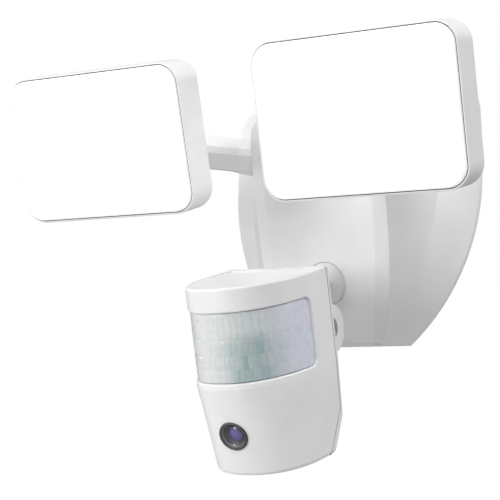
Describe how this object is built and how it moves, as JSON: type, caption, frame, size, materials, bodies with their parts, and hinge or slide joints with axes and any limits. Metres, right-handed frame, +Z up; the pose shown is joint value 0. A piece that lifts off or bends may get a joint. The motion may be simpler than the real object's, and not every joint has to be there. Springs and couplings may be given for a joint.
{
  "type": "floodlight security camera",
  "caption": "Wall-mounted security floodlight: two aimable flat lamps on arms and a swivelling motion sensor head with a small camera below them.",
  "frame": {"origin": "centre of the junction box, between its two screw holes, on the wall plane", "axes": "+Y into the wall, -Y to the front, +Z up, +X to the right of someone facing the lamps"},
  "size_m": [0.2946, 0.1731, 0.2399],
  "materials": {
    "white_plastic": "white moulded plastic with a soft satin gloss",
    "inner_plastic": "unpainted moulded plastic",
    "frosted_lens": "opal diffuser, evenly white",
    "milky_lens": "thin milky polyethylene with rows of small lens facets",
    "seal_rubber": "soft dull rubber",
    "circuit_board": "green solder mask",
    "white_circuit_board": "white solder mask",
    "led_phosphor": "yellow phosphor under clear resin",
    "black_plastic": "fine matt",
    "bezel_plastic": "dark grey, finely textured",
    "bare_aluminium": "plain",
    "clear_glass": "clear and flat",
    "coated_lens": "violet coated lens",
    "copper_foil": "thin foil",
    "zinc_steel": "zinc plated"
  },
  "bodies": {
    "housing": {"canopy_shell": "white_plastic", "wall_gasket": "seal_rubber", "back_plate": "inner_plastic", "canopy_screws": "zinc_steel", "power_board": "circuit_board", "control_board": "circuit_board", "board_screws": "zinc_steel", "power_transformer": "black_plastic", "power_capacitors": "bare_aluminium", "terminal_block": "black_plastic", "control_chips": "black_plastic", "antenna": "copper_foil", "ball_cup": "inner_plastic", "cup_screws": "zinc_steel", "lamp_arm_left": "white_plastic", "lamp_arm_right": "white_plastic", "arm_nuts": "inner_plastic", "swivel_collar_left": "white_plastic", "swivel_collar_right": "white_plastic"},
    "sensor_swivel": {"sensor_arm": "white_plastic"},
    "sensor_head": {"sensor_front_shell": "white_plastic", "sensor_back_shell": "white_plastic", "shell_seal": "seal_rubber", "shell_screws": "zinc_steel", "motion_lens": "milky_lens", "sensor_board": "circuit_board", "motion_sensors": "bare_aluminium", "camera_bezel": "bezel_plastic", "camera_glass": "clear_glass", "camera_barrel": "black_plastic", "camera_lens": "coated_lens", "camera_board": "circuit_board", "sensor_tilt_bolt": "zinc_steel", "sensor_tilt_nut": "zinc_steel"},
    "left_swivel": {"swivel_left": "white_plastic"},
    "left_lamp": {"lamp_shell_left": "white_plastic", "lamp_lens_left": "frosted_lens", "lamp_gasket_left": "seal_rubber", "heat_spreader_left": "bare_aluminium", "led_board_left": "white_circuit_board", "led_chips_left": "led_phosphor", "lamp_bracket_left": "white_plastic", "bracket_screws_left": "zinc_steel", "tilt_bolt_left": "zinc_steel", "tilt_nut_left": "zinc_steel"},
    "right_swivel": {"swivel_right": "white_plastic"},
    "right_lamp": {"lamp_shell_right": "white_plastic", "lamp_lens_right": "frosted_lens", "lamp_gasket_right": "seal_rubber", "heat_spreader_right": "bare_aluminium", "led_board_right": "white_circuit_board", "led_chips_right": "led_phosphor", "lamp_bracket_right": "white_plastic", "bracket_screws_right": "zinc_steel", "tilt_bolt_right": "zinc_steel", "tilt_nut_right": "zinc_steel"}
  },
  "joints": [
    {"name": "left_lamp_pan", "type": "hinge", "parent": "housing", "child": "left_swivel", "pos_m": [-0.0904, -0.096, 0.0335], "axis": [0, 0, 1], "range_deg": [-25, 25]},
    {"name": "left_lamp_tilt", "type": "hinge", "parent": "left_swivel", "child": "left_lamp", "pos_m": [-0.08904, -0.11886, 0.0352], "axis": [0.9982, 0.0593, 0], "range_deg": [-25, 30]},
    {"name": "right_lamp_pan", "type": "hinge", "parent": "housing", "child": "right_swivel", "pos_m": [0.0822, -0.096, 0.0335], "axis": [0, 0, 1], "range_deg": [-25, 25]},
    {"name": "right_lamp_tilt", "type": "hinge", "parent": "right_swivel", "child": "right_lamp", "pos_m": [0.08356, -0.11886, 0.0341], "axis": [0.9982, 0.0593, 0], "range_deg": [-25, 30]},
    {"name": "sensor_pan", "type": "hinge", "parent": "housing", "child": "sensor_swivel", "pos_m": [0, -0.03029, -0.04817], "axis": [0, 0, 1], "range_deg": [-30, 30]},
    {"name": "sensor_tilt", "type": "hinge", "parent": "sensor_swivel", "child": "sensor_head", "pos_m": [0.00086, -0.06298, -0.07997], "axis": [0.9997, 0.0262, 0], "range_deg": [-18, 30]}
  ]
}
